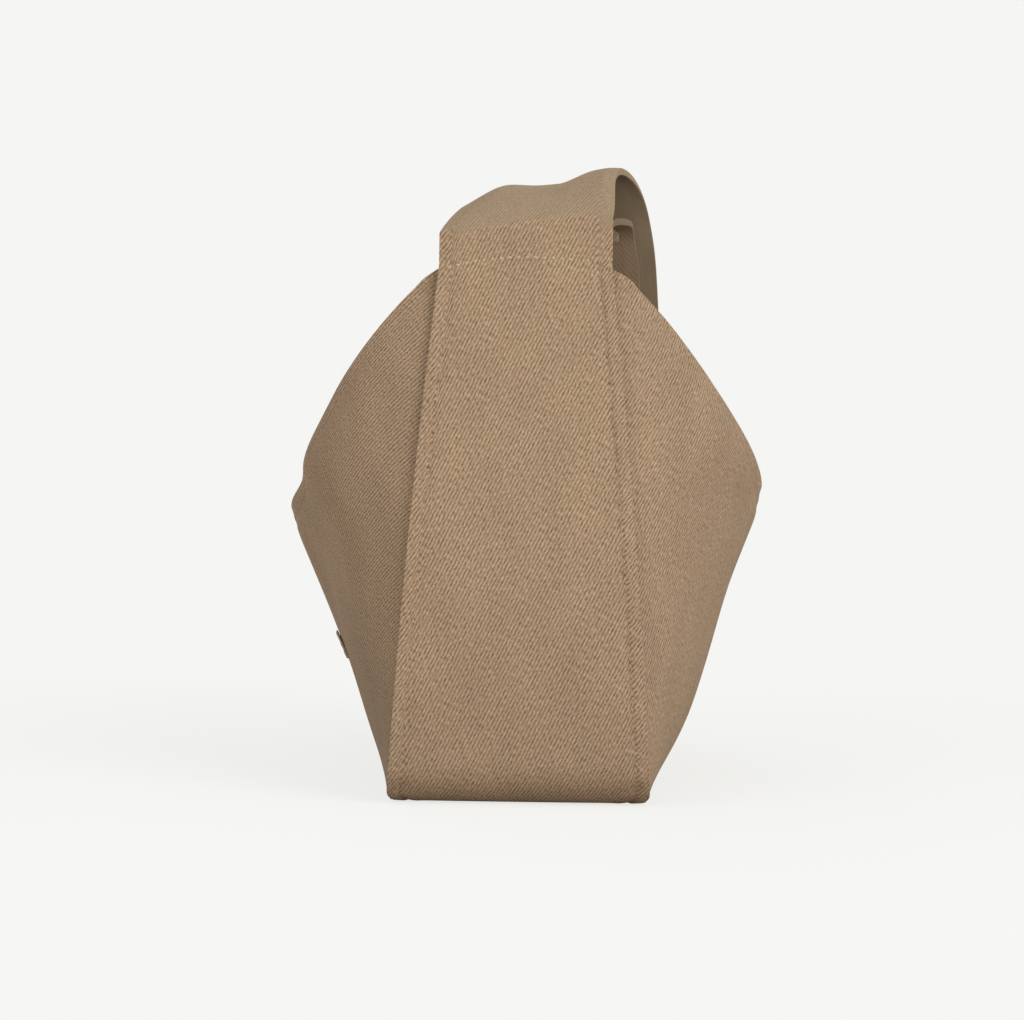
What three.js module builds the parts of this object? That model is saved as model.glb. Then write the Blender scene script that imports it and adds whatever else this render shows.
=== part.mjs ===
// A knot bag in brushed twill. A gusset strip runs up each end of a flat base, two scooped side panels
// are sewn along it, and a strap loop at the top of each end is folded down into the mouth.
// Millimetres, +Z up, the bag's length along Y, the origin in the middle of the base's underside.
import * as THREE from "three";

// The bag's body
const bagLength = 300;
const baseWidth = 101;
const gussetTopWidth = 66;
const gussetSwell = 1.4;
const gussetHeight = 205;
const endLean = 8;
const cornerRadius = 16;
const mouthWidth = 192;
const mouthDraw = 0.55;
const scoopPower = 3.7;
const planPower = 2.8;
const planRoundness = 1.26;
const sagHeight = 30;
const leftWall = { side: -1, rimHeight: 107, sag: 0 };
const rightWall = { side: 1, rimHeight: 117, sag: 6.5 };

// Cloth, board and seams
const twillThickness = 2;
const liningThickness = 1;
const boardThickness = 2.5;
const boardMargin = 5;
const liningMargin = 5;
const liningGap = 0.6;
const seamGap = 0.3;

// The blank label on the left wall
const labelLength = 34;
const labelHeight = 9;
const labelThickness = 0.9;
const labelCentreHeight = 54;
const labelCentreAlong = -50;

// The strap loops: each hangs over a crest, with its inner layer below the outer one
const strapThickness = 2.6;
const legSpacing = 9;
const longHandle = {
  name: "long_handle",
  end: -1,
  tilt: THREE.MathUtils.degToRad(7),
  foldHeight: 10.5,
  foldRadius: 20,
  crestRun: 6,
  layerSpacing: 18,
  innerFoldRadius: 7,
  legLength: 90,
};
const shortHandle = {
  name: "short_handle",
  end: 1,
  tilt: THREE.MathUtils.degToRad(4),
  foldHeight: 5,
  foldRadius: 13,
  crestRun: 8,
  layerSpacing: 8,
  innerFoldRadius: 6,
  legLength: 40,
};

// How finely the curved pieces are divided
const wallSteps = 24;
const wallRows = 11;
const liningFirstRow = 2;
const cornerSteps = 6;
const uprightSteps = 6;
const foldSteps = 5;
const turnSteps = 8;
const labelSteps = 4;

const halfLength = bagLength / 2;
const wallBottom = twillThickness + seamGap;
const liningDepth = twillThickness + liningGap;
const boardBottom = twillThickness + seamGap;
const baseLiningBottom = boardBottom + boardThickness + seamGap;

const twill = new THREE.MeshStandardMaterial({ color: "#a68c70", roughness: 0.9, metalness: 0 });
const strapTwill = new THREE.MeshStandardMaterial({ color: "#a3927a", roughness: 0.9, metalness: 0 });
const liningCloth = new THREE.MeshStandardMaterial({ color: "#8f7d66", roughness: 0.95, metalness: 0 });
const stiffBoard = new THREE.MeshStandardMaterial({ color: "#8a8178", roughness: 0.8, metalness: 0 });
const labelTape = new THREE.MeshStandardMaterial({ color: "#b9a888", roughness: 0.85, metalness: 0 });

const bag = new THREE.Group();

// Closes two matching grids of points into one solid slab, with its faces pointing out.
function slabGeometry(front, back) {
  const rows = front.length;
  const columns = front[0].length;
  const points = [...front.flat(), ...back.flat()];
  const frontIndex = (row, column) => row * columns + column;
  const backIndex = (row, column) => rows * columns + row * columns + column;
  const triangles = [];
  const addQuad = (a, b, c, d) => triangles.push([a, b, c], [a, c, d]);
  for (let row = 0; row + 1 < rows; row += 1) {
    for (let column = 0; column + 1 < columns; column += 1) {
      addQuad(
        frontIndex(row, column), frontIndex(row, column + 1),
        frontIndex(row + 1, column + 1), frontIndex(row + 1, column),
      );
      addQuad(
        backIndex(row, column), backIndex(row + 1, column),
        backIndex(row + 1, column + 1), backIndex(row, column + 1),
      );
    }
  }
  const rim = [];
  for (let column = 0; column + 1 < columns; column += 1) rim.push([0, column]);
  for (let row = 0; row + 1 < rows; row += 1) rim.push([row, columns - 1]);
  for (let column = columns - 1; column > 0; column -= 1) rim.push([rows - 1, column]);
  for (let row = rows - 1; row > 0; row -= 1) rim.push([row, 0]);
  rim.forEach(([row, column], place) => {
    const [nextRow, nextColumn] = rim[(place + 1) % rim.length];
    addQuad(
      frontIndex(row, column), backIndex(row, column),
      backIndex(nextRow, nextColumn), frontIndex(nextRow, nextColumn),
    );
  });
  const volume = triangles.reduce(
    (sum, [a, b, c]) => sum + points[a].dot(points[b].clone().cross(points[c])), 0,
  );
  const outward = volume > 0 ? triangles : triangles.map(([a, b, c]) => [a, c, b]);
  const geometry = new THREE.BufferGeometry().setFromPoints(points);
  geometry.setIndex(outward.flat());
  geometry.computeVertexNormals();
  return geometry;
}

function addPiece(name, geometry, material) {
  const mesh = new THREE.Mesh(geometry, material);
  mesh.name = name;
  bag.add(mesh);
  return mesh;
}

// The end strip's half width at a height: it tapers from the base to the strap, with a slight swell.
function gussetHalfWidth(height) {
  const share = height / gussetHeight;
  const taper = THREE.MathUtils.lerp(baseWidth, gussetTopWidth, share) / 2;
  return taper + gussetSwell * Math.sin(Math.PI * share);
}

function leanAt(height) {
  const share = Math.max(0, height - cornerRadius) / (gussetHeight - cornerRadius);
  return endLean * share * share;
}

// How far from the middle the end strip lies, at a height and at a depth below its outer face.
function endReach(height, depth) {
  if (height >= cornerRadius) return halfLength - depth - leanAt(height);
  const radius = cornerRadius - depth;
  const rise = cornerRadius - height;
  return halfLength - cornerRadius + Math.sqrt(Math.max(0, radius * radius - rise * rise));
}

// The wall leans out from the base to the mouth, and its cloth sags out a little above the base. Towards
// the bands it climbs past the mouth's lowest point and is drawn in.
function midHalfWidth(height, wall) {
  const share = height / wall.rimHeight;
  const above = Math.max(0, share - 1);
  const flare = (mouthWidth - baseWidth) / 2;
  const climb = Math.max(0, height - wallBottom) / sagHeight;
  const sag = wall.sag * climb * Math.exp(1 - climb);
  return baseWidth / 2 + flare * (share - mouthDraw * above * above) + sag;
}

function rimHeightAt(along, wall) {
  return wall.rimHeight + (gussetHeight - wall.rimHeight) * Math.abs(along) ** scoopPower;
}

// The wall's outer face leaves the end strip's edge in a round shoulder and runs nearly straight between.
function wallHalfWidth(y, height, wall) {
  const along = Math.min(1, Math.abs(y) / endReach(height, wallBottom));
  const edge = gussetHalfWidth(height);
  return edge + (midHalfWidth(height, wall) - edge) * (1 - along ** planPower) ** (1 / planRoundness);
}

// A point on the wall, a depth inside its outer face and square to that face.
function wallPoint(wall, y, height, depth) {
  const step = 0.5;
  const here = wallHalfWidth(y, height, wall);
  const before = wallHalfWidth(y - step, height, wall);
  const slopeY = (wallHalfWidth(y + step, height, wall) - before) / (2 * step);
  const slopeZ = (wallHalfWidth(y, height + step, wall) - here) / step;
  const normal = new THREE.Vector3(1, -slopeY, -slopeZ).normalize();
  const point = new THREE.Vector3(here, y, height).addScaledVector(normal, -depth);
  point.x *= wall.side;
  return point;
}

// One side wall between two depths: rows climb from the bottom edge to the scooped mouth edge, and columns
// are closer at the round shoulders. The lining leaves out the lowest rows and lies evenly behind the twill.
function wallGeometry(wall, firstRow, outerDepth, innerDepth) {
  const cornerShares = [0, 0.12, 0.35, 0.65];
  const cornerShare = (cornerRadius - wallBottom) / (gussetHeight - wallBottom);
  const shares = cornerShares.map((share) => share * cornerShare);
  for (let row = 0; row <= wallRows; row += 1) {
    shares.push(cornerShare + (1 - cornerShare) * (row / wallRows));
  }
  const grid = (depth) => shares.slice(firstRow).map((share) => {
    const row = [];
    for (let step = 0; step <= wallSteps; step += 1) {
      const along = Math.sin((Math.PI / 2) * ((2 * step) / wallSteps - 1));
      const height = wallBottom + (rimHeightAt(along, wall) - wallBottom) * share;
      const y = along * endReach(height, wallBottom);
      row.push(wallPoint(wall, y, height, depth));
    }
    return row;
  });
  return slabGeometry(grid(outerDepth), grid(innerDepth));
}

// A strip up one end between two depths: it turns up round the corner and climbs to the stitch row.
function endStripGeometry(end, startAngle, edgeInset, outerDepth, innerDepth) {
  const path = (depth) => {
    const points = [];
    for (let step = 0; step <= cornerSteps; step += 1) {
      const angle = THREE.MathUtils.lerp(startAngle, Math.PI / 2, step / cornerSteps);
      const radius = cornerRadius - depth;
      points.push([
        halfLength - cornerRadius + radius * Math.sin(angle),
        cornerRadius - radius * Math.cos(angle),
      ]);
    }
    for (let step = 1; step <= uprightSteps; step += 1) {
      const height = THREE.MathUtils.lerp(cornerRadius, gussetHeight, step / uprightSteps);
      points.push([endReach(height, depth), height]);
    }
    return points;
  };
  const grid = (depth) => path(depth).map(([reach, height]) => {
    const halfWidth = gussetHalfWidth(height) - edgeInset;
    return [-halfWidth, halfWidth].map((x) => new THREE.Vector3(x, end * reach, height));
  });
  return slabGeometry(grid(outerDepth), grid(innerDepth));
}

// A flat layer of the base, resting a given height above the ground.
function baseLayerGeometry(halfWidth, bottom, thickness) {
  const length = 2 * (halfLength - cornerRadius) - 2 * seamGap;
  const geometry = new THREE.BoxGeometry(2 * halfWidth, length, thickness);
  return geometry.translate(0, 0, bottom + thickness / 2);
}

function buildBody() {
  const halfBase = gussetHalfWidth(0);
  addPiece("base_panel", baseLayerGeometry(halfBase, 0, twillThickness), twill);
  addPiece("near_end_gusset", endStripGeometry(-1, 0, 0, 0, twillThickness), twill);
  addPiece("far_end_gusset", endStripGeometry(1, 0, 0, 0, twillThickness), twill);
  addPiece("left_panel", wallGeometry(leftWall, 0, 0, twillThickness), twill);
  addPiece("right_panel", wallGeometry(rightWall, 0, 0, twillThickness), twill);
}

function buildLining() {
  const halfBoard = gussetHalfWidth(0) - boardMargin;
  const innerDepth = liningDepth + liningThickness;
  const startAngle = Math.acos((cornerRadius - baseLiningBottom) / (cornerRadius - innerDepth));
  addPiece("base_board", baseLayerGeometry(halfBoard, boardBottom, boardThickness), stiffBoard);
  addPiece("base_lining", baseLayerGeometry(halfBoard, baseLiningBottom, liningThickness), liningCloth);
  const endLining = (end) => endStripGeometry(end, startAngle, liningMargin, liningDepth, innerDepth);
  addPiece("near_end_lining", endLining(-1), liningCloth);
  addPiece("far_end_lining", endLining(1), liningCloth);
  const sideLining = (wall) => wallGeometry(wall, liningFirstRow, liningDepth, innerDepth);
  addPiece("left_lining", sideLining(leftWall), liningCloth);
  addPiece("right_lining", sideLining(rightWall), liningCloth);
}

function buildLabel() {
  const grid = (depth) => [-0.5, 0.5].map((up) => {
    const row = [];
    for (let step = 0; step <= labelSteps; step += 1) {
      const y = labelCentreAlong + (step / labelSteps - 0.5) * labelLength;
      row.push(wallPoint(leftWall, y, labelCentreHeight + up * labelHeight, depth));
    }
    return row;
  });
  addPiece("label_patch", slabGeometry(grid(-seamGap - labelThickness), grid(-seamGap)), labelTape);
}

// A handle is a strip folded over a crest whose axis is tilted, so its legs hang a little to one side.
// A place on it is its distance across the strip, its distance inward from the end's face, its rise
// above the stitch row square to the crest, and the length of strip that leads up to it.
function buildHandle(handle) {
  const { name, end, tilt, foldHeight, foldRadius, crestRun, layerSpacing, innerFoldRadius } = handle;
  const across = new THREE.Vector3(Math.cos(tilt), 0, Math.sin(tilt));
  const upward = new THREE.Vector3(-Math.sin(tilt), 0, Math.cos(tilt));
  const inward = new THREE.Vector3(0, -end, 0);
  const legDown = new THREE.Vector3(Math.sin(2 * tilt), 0, -Math.cos(2 * tilt));
  const root = new THREE.Vector3(0, end * endReach(gussetHeight, 0), gussetHeight + seamGap);
  const edges = [-gussetTopWidth / 2, gussetTopWidth / 2];

  const place = (u, inwardBy, rise, length) => root.clone()
    .addScaledVector(across, u / Math.cos(tilt) + length * Math.tan(tilt))
    .addScaledVector(inward, inwardBy)
    .addScaledVector(upward, rise);

  const outer = { start: strapThickness / 2, foldHeight, foldRadius, crestRun };
  const innerStart = outer.start + strapThickness + seamGap;
  const outerLeg = outer.start + 2 * foldRadius + crestRun;
  const inner = {
    start: innerStart,
    foldHeight: foldHeight + foldRadius - layerSpacing - innerFoldRadius,
    foldRadius: innerFoldRadius,
    crestRun: outerLeg - legSpacing - innerStart - 2 * innerFoldRadius,
  };

  // A quarter turn between two angles, with half the seam gap left open at each end.
  const foldRows = (layer, centre, fromAngle, lengthBefore) => {
    const rows = [];
    const margin = seamGap / 2 / layer.foldRadius;
    for (let step = 0; step <= foldSteps; step += 1) {
      const angle = THREE.MathUtils.lerp(margin, Math.PI / 2 - margin, step / foldSteps);
      rows.push({ centre, angle: fromAngle + angle, length: lengthBefore + angle * layer.foldRadius });
    }
    return rows;
  };

  const foldSlab = (layer, rows) => {
    const grid = (radius) => rows.map(({ centre, angle, length }) => edges.map((u) => place(
      u, centre - radius * Math.cos(angle), layer.foldHeight + radius * Math.sin(angle), length,
    )));
    return slabGeometry(
      grid(layer.foldRadius + strapThickness / 2), grid(layer.foldRadius - strapThickness / 2),
    );
  };

  const quarter = (layer) => (layer.foldRadius * Math.PI) / 2;
  const legStart = (layer) => layer.foldHeight + 2 * quarter(layer) + layer.crestRun;
  const legPlace = (layer) => layer.start + 2 * layer.foldRadius + layer.crestRun;

  [["outer", outer], ["inner", inner]].forEach(([word, layer]) => {
    const rootTop = layer.foldHeight - seamGap / 2;
    const rootGrid = (inwardBy) => [
      edges.map((u) => place(u, inwardBy, -u * Math.sin(tilt), -u * Math.sin(tilt))),
      edges.map((u) => place(u, inwardBy, rootTop, rootTop)),
    ];
    addPiece(`${name}_root_${word}`, slabGeometry(
      rootGrid(layer.start - strapThickness / 2), rootGrid(layer.start + strapThickness / 2),
    ), strapTwill);

    const foldCentre = layer.start + layer.foldRadius;
    const foldPath = foldRows(layer, foldCentre, 0, layer.foldHeight);
    addPiece(`${name}_fold_${word}`, foldSlab(layer, foldPath), strapTwill);

    const crestRise = layer.foldHeight + layer.foldRadius;
    const crestStart = layer.foldHeight + quarter(layer);
    const crestGrid = (rise) => [seamGap / 2, layer.crestRun - seamGap / 2].map((run) => edges.map(
      (u) => place(u, foldCentre + run, rise, crestStart + run),
    ));
    addPiece(`${name}_crest_${word}`, slabGeometry(
      crestGrid(crestRise + strapThickness / 2), crestGrid(crestRise - strapThickness / 2),
    ), strapTwill);

    const dropCentre = foldCentre + layer.crestRun;
    const dropPath = foldRows(layer, dropCentre, Math.PI / 2, crestStart + layer.crestRun);
    addPiece(`${name}_drop_${word}`, foldSlab(layer, dropPath), strapTwill);
  });

  // The hanging loop: down the outer leg, round the turn at the bottom and up the inner leg.
  const legPoint = (layer, u, along) => {
    const length = legStart(layer) + along;
    return place(u, legPlace(layer), layer.foldHeight - along, length);
  };
  const outerBottom = edges.map((u) => legPoint(outer, u, handle.legLength - u * Math.sin(tilt)));
  const innerLength = handle.legLength + inner.foldHeight - outer.foldHeight;
  const innerBottom = edges.map((u) => legPoint(inner, u, innerLength - u * Math.sin(tilt)));
  const loopGrid = (offset) => {
    const rows = [edges.map((u) => legPoint(outer, u, seamGap / 2).addScaledVector(inward, offset))];
    for (let step = 0; step <= turnSteps; step += 1) {
      const angle = (Math.PI * step) / turnSteps;
      rows.push(outerBottom.map((corner, column) => corner.clone()
        .lerp(innerBottom[column], (1 - Math.cos(angle)) / 2)
        .addScaledVector(legDown, (legSpacing / 2 + offset) * Math.sin(angle))
        .addScaledVector(inward, offset * Math.cos(angle))));
    }
    rows.push(edges.map((u) => legPoint(inner, u, seamGap / 2).addScaledVector(inward, -offset)));
    return rows;
  };
  addPiece(`${name}_loop`, slabGeometry(
    loopGrid(strapThickness / 2), loopGrid(-strapThickness / 2),
  ), strapTwill);
}

buildBody();
buildLining();
buildLabel();
buildHandle(longHandle);
buildHandle(shortHandle);

export default bag;
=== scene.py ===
import bisect
import math

import bmesh
import bpy
from mathutils import Matrix, Vector, noise


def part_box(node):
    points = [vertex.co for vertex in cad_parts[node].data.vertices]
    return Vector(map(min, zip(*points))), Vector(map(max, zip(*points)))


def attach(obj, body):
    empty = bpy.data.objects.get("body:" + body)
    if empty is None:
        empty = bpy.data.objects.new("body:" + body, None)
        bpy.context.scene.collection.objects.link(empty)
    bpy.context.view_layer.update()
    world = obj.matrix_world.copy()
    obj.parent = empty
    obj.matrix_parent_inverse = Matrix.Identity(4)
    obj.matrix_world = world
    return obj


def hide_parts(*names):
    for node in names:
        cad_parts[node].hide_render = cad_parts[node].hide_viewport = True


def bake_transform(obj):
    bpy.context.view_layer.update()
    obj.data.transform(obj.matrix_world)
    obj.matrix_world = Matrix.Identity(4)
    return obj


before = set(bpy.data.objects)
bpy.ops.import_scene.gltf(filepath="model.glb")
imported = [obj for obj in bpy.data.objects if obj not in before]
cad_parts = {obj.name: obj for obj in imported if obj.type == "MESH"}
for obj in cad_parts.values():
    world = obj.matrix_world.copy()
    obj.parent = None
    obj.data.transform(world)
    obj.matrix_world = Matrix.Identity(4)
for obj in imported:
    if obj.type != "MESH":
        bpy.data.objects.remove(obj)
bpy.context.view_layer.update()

scene = bpy.context.scene

# Camera: a long lens looks along the bag at the long handle's end, a little above its middle. The band's
# base shows at a known scale, which gives the lens, and the bag leans slightly clockwise in the frame.
photo_width_pixels = 1024
near_pixels_per_metre = 2640
camera_distance = 1.3
camera_height = 0.15
aim_height = 0.1125
camera_side = -0.0039
camera_roll = math.radians(0.82)
half_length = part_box("far_end_gusset")[1].y

camera_data = bpy.data.cameras.new("photo_camera")
camera = bpy.data.objects.new("photo_camera", camera_data)
scene.collection.objects.link(camera)
camera.location = (camera_side, -half_length - camera_distance, camera_height)
aim = Vector((camera_side, -half_length, aim_height))
look = (aim - camera.location).to_track_quat("-Z", "Y").to_matrix()
camera.rotation_euler = (look @ Matrix.Rotation(camera_roll, 3, "Z")).to_euler()
camera_data.lens = near_pixels_per_metre * camera_distance / photo_width_pixels * camera_data.sensor_width
scene.camera = camera
scene.view_settings.view_transform = "Standard"


# Studio: a plain pale floor and background, a broad soft key from above on the right, and a weaker fill.
# The background colour shows to the camera alone, so it doesn't add to the light on the cloth.
def to_linear(code):
    """A colour written as an sRGB hex code, as the linear numbers that the nodes take."""
    channels = [int(code[place:place + 2], 16) / 255 for place in (1, 3, 5)]
    return [c / 12.92 if c <= 0.04045 else ((c + 0.055) / 1.055) ** 2.4 for c in channels] + [1.0]


def add_node(tree, kind, links=(), inputs=None, **settings):
    """One node with its settings, its plain input values, and its links as (socket, other node, output)."""
    node = tree.nodes.new(kind)
    for name, value in settings.items():
        setattr(node, name, value)
    for socket, value in (inputs or {}).items():
        node.inputs[socket].default_value = value
    for socket, source, output in links:
        tree.links.new(source.outputs[output], node.inputs[socket])
    return node


def map_range(tree, source, output, span, result, smooth=True):
    """Another node's value, moved from one span to another and held at its ends."""
    return add_node(
        tree, "ShaderNodeMapRange", [("Value", source, output)],
        interpolation_type="SMOOTHSTEP" if smooth else "LINEAR",
        inputs={"From Min": span[0], "From Max": span[1], "To Min": result[0], "To Max": result[1]},
    )


def new_finish(name):
    """A new material without nodes yet, and its node tree."""
    finish = bpy.data.materials.new(name)
    finish.use_nodes = True
    finish.node_tree.nodes.clear()
    return finish, finish.node_tree


def seen_directly(tree):
    """1 for the rays that show the background itself: the camera's, mirrored ones and those through glass."""
    ray = add_node(tree, "ShaderNodeLightPath")
    mirrored = add_node(
        tree, "ShaderNodeMath", [(0, ray, "Is Camera Ray"), (1, ray, "Is Glossy Ray")], operation="MAXIMUM"
    )
    return add_node(
        tree, "ShaderNodeMath", [(0, mirrored, 0), (1, ray, "Is Transmission Ray")], operation="MAXIMUM"
    )


backdrop_colour = to_linear("#F5F5F3")
ambient_strength = 0.41

world = bpy.data.worlds.new("pale_studio")
world.use_nodes = True
scene.world = world
sky = world.node_tree
sky.nodes.clear()
ambient = add_node(
    sky, "ShaderNodeBackground", inputs={"Color": to_linear("#FFFFFF"), "Strength": ambient_strength}
)
backdrop = add_node(sky, "ShaderNodeBackground", inputs={"Color": backdrop_colour, "Strength": 1.0})
sky_mix = add_node(
    sky, "ShaderNodeMixShader", [(0, seen_directly(sky), 0), (1, ambient, 0), (2, backdrop, 0)]
)
add_node(sky, "ShaderNodeOutputWorld", [("Surface", sky_mix, 0)])

lamp_plan = {
    "key_softbox": {"place": (1.15, -1.5, 1.0), "size": 1.2, "watts": 23.0},
    "fill_softbox": {"place": (-1.2, -1.5, 1.1), "size": 1.2, "watts": 9.5},
    "back_softbox": {"place": (-0.5, 1.7, 0.6), "size": 1.2, "watts": 12.0},
}
lamp_target = Vector((0, 0, 0.12))
for lamp_name, plan in lamp_plan.items():
    lamp_data = bpy.data.lights.new(lamp_name, "AREA")
    lamp_data.size = plan["size"]
    lamp_data.energy = plan["watts"]
    lamp = bpy.data.objects.new(lamp_name, lamp_data)
    scene.collection.objects.link(lamp)
    lamp.location = plan["place"]
    lamp.rotation_euler = (lamp_target - lamp.location).to_track_quat("-Z", "Y").to_euler()

floor_size = 8.0
floor_drop = 0.0004
shadow_share = 0.22
shadow_lift = 1.06
shadow_fade = (0.2, 0.8)
bpy.ops.object.select_all(action="DESELECT")
bpy.ops.mesh.primitive_plane_add(size=floor_size, location=(0, 0, -floor_drop))
bpy.ops.object.transform_apply(location=True, rotation=True, scale=True)
floor = bpy.context.active_object
floor.name = "floor"
floor_paint, tree = new_finish("pale_floor_paint")
floor_place = add_node(tree, "ShaderNodeTexCoord")
floor_distance = add_node(tree, "ShaderNodeVectorMath", [(0, floor_place, "Object")], operation="LENGTH")
floor_fade = map_range(tree, floor_distance, "Value", shadow_fade, (shadow_share, 0.0))
floor_lift = map_range(tree, floor_distance, "Value", shadow_fade, (shadow_lift, 1.0))
floor_glow = add_node(
    tree, "ShaderNodeEmission", [("Strength", floor_lift, 0)], inputs={"Color": backdrop_colour}
)
floor_matt = add_node(tree, "ShaderNodeBsdfDiffuse", inputs={"Color": backdrop_colour})
floor_bounce = add_node(tree, "ShaderNodeBsdfDiffuse", inputs={"Color": to_linear("#C2BEB6")})
floor_look = add_node(
    tree, "ShaderNodeMixShader", [(0, floor_fade, 0), (1, floor_glow, 0), (2, floor_matt, 0)]
)
floor_mix = add_node(
    tree, "ShaderNodeMixShader", [(0, seen_directly(tree), 0), (1, floor_bounce, 0), (2, floor_look, 0)]
)
add_node(tree, "ShaderNodeOutputMaterial", [("Surface", floor_mix, 0)])
floor.data.materials.append(floor_paint)


# Side walls: two scooped panels of brushed cotton twill, sewn under the end bands' edges and to the base.
# Each rounds out from the band, sags a little above the base and leans out to its mouth edge, which is
# turned in and stitched. The cloth is heavy enough to stand, and hollows softly.
half_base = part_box("near_end_gusset")[1].x
strap_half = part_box("long_handle_root_outer")[1].x
band_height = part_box("near_end_gusset")[1].z
mouth_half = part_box("right_panel")[1].x
band_swell = 0.0014
corner_radius = 0.016
end_lean = 0.008
mouth_draw = 0.55
sag_height = 0.025
scoop_power = 3.7
plan_power = 2.8
plan_roundness = 1.26
full_power = 8
twill_thickness = 0.002
seam_gap = 0.0003
wall_bottom = twill_thickness + seam_gap
wall_tuck = 0.0005
wall_lap = 0.0018
lap_fade = 0.04
foot_round = 0.0045
walls = {
    "left": {
        "side": -1, "rim": 0.107, "sag": 0.0012, "stand": -0.002, "full": 0.0026, "lip": 0.0016,
        "shoulder": 0.0014, "wave": 0.001, "wave_from": -0.045, "dent": 0.0022, "dent_at": -0.083,
        "seed": 3.0,
    },
    "right": {
        "side": 1, "rim": 0.117, "sag": 0.007, "stand": 0.0029, "full": 0.0032, "lip": 0.003,
        "shoulder": 0.0045, "wave": 0.0007, "wave_from": -0.06, "dent": 0.001, "dent_at": 0.07,
        "seed": 11.0,
    },
}
shoulder_reach = 0.004
shoulder_from = 0.192
hem_depth = 0.006
hem_groove = 0.0004
hem_groove_width = 0.0012
lip_reach = 0.014
hem_slant = math.radians(8)
hem_columns = 8
wave_length = 0.085
wave_power = 3
dent_size = 0.011
corner_pucker = 0.0006
corner_size = 0.01
pucker_size = 0.0065
pucker_from_seam = 0.9
pucker_from_top = 0.5
wall_slack = 0.0016
slack_size = 0.05
slack_from_seam = 6
slack_from_base = 0.03


def band_half_width(height):
    """The end band's half width: it tapers from the base to the strap, with a slight swell."""
    share = height / band_height
    return half_base + (strap_half - half_base) * share + band_swell * math.sin(math.pi * share)


def foot_inset(height):
    """How far the sewn edges draw in just above the floor, where the cloth turns under."""
    drop = max(0.0, foot_round - height)
    return foot_round - math.sqrt(foot_round * foot_round - drop * drop)


def end_reach(height, depth):
    """How far from the middle the end band lies, at a height and a depth below its outer face."""
    if height >= corner_radius:
        share = (height - corner_radius) / (band_height - corner_radius)
        return half_length - depth - end_lean * share * share
    radius = corner_radius - depth
    rise = corner_radius - height
    return half_length - corner_radius + math.sqrt(max(0.0, radius * radius - rise * rise))


def rim_height_at(wall, along):
    """The mouth edge's height: lowest at mid-length, and up to the stitch row at the bands."""
    return wall["rim"] + (band_height - wall["rim"]) * abs(along) ** scoop_power


def wall_half_width(wall, y, height):
    """The wall's outer face: a round shoulder beside the band, then nearly straight along the bag."""
    share = height / wall["rim"]
    above = max(0.0, share - 1)
    climb = max(0.0, height - wall_bottom) / sag_height
    sag = wall["sag"] * climb * math.exp(1 - climb)
    flare = mouth_half + wall["stand"] - half_base
    middle = half_base + flare * (share - mouth_draw * above * above) + sag
    reach = end_reach(height, wall_bottom + wall_tuck)
    along = min(1.0, abs(y) / reach)
    seam = band_half_width(height)
    edge = seam - wall_lap * min(1.0, (middle - seam) / lap_fade)
    pull = (1 - along) * reach / shoulder_reach
    gathered = max(0.0, (height - shoulder_from) / (band_height - shoulder_from)) ** 2
    gather = wall["shoulder"] * pull * math.exp(1 - pull) * gathered
    climbed = max(0.0, (height - wall["rim"]) / (band_height - wall["rim"]))
    full = wall["full"] * math.sin(2 * math.pi * climbed) * (1 - climbed ** 2) * (1 - along ** full_power)
    shape = edge + (middle - edge) * (1 - along ** plan_power) ** (1 / plan_roundness)
    return shape + gather + full - foot_inset(height)


def wall_point(wall, y, height, depth):
    """A point on a wall, a depth inside its outer face and square to that face."""
    step = 0.0005
    here = wall_half_width(wall, y, height)
    slope_y = (wall_half_width(wall, y + step, height) - wall_half_width(wall, y - step, height)) / 2
    slope_z = wall_half_width(wall, y, height + step) - here
    normal = Vector((step, -slope_y, -slope_z)).normalized()
    point = Vector((here, y, height)) - normal * depth
    point.x *= wall["side"]
    return point


def slack_cloth(point, size, amount, seed):
    """How far soft cloth wanders in or out at a point, as broad shallow hollows of a given size."""
    return amount * noise.noise(point / size + Vector((seed, seed * 1.7, 0)))


def soft_wall(wall, y, height, depth):
    """A point on a wall with its hem, its rolled lip and its hollows, which its lining and label follow."""
    along = min(1.0, abs(y) / end_reach(height, wall_bottom + wall_tuck))
    below_rim = rim_height_at(wall, along) - height
    groove = hem_groove * math.exp(-(((below_rim - hem_depth) / hem_groove_width) ** 2))
    lip = wall["lip"] * max(0.0, 1 - below_rim / lip_reach) ** 2 * (1 - along * along)
    held = min(1.0, (1 - along) * slack_from_seam) * min(1.0, height / slack_from_base)
    flat = Vector((wall["side"] * wall_half_width(wall, y, height), y, height))
    hollow = slack_cloth(flat, slack_size, wall_slack, wall["seed"])
    turn = 2 * math.pi * (y - wall["wave_from"]) / wave_length
    dent = wall["dent"] * math.exp(-(((y - wall["dent_at"]) / dent_size) ** 2))
    wave = (wall["wave"] * math.cos(turn) - dent) * (height / wall["rim"]) ** wave_power
    from_seam = (1 - along) * half_length
    from_top = band_height - height
    near_corner = math.exp(-((math.hypot(from_seam, from_top) / corner_size) ** 2))
    pucker_turn = 2 * math.pi * (pucker_from_seam * from_seam + pucker_from_top * from_top) / pucker_size
    puckers = corner_pucker * near_corner * math.sin(pucker_turn)
    return wall_point(wall, y, height, depth + groove + lip + (hollow - wave) * held + puckers)


def spread(start, end, count, crowd=0.0):
    """count + 1 places from start to end, closer together towards both ends where crowd is above 0."""
    places = []
    for step in range(count + 1):
        share = step / count
        eased = share - crowd * math.sin(2 * math.pi * share) / (2 * math.pi)
        places.append(start + (end - start) * eased)
    return places


cut_ends = {}


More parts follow.
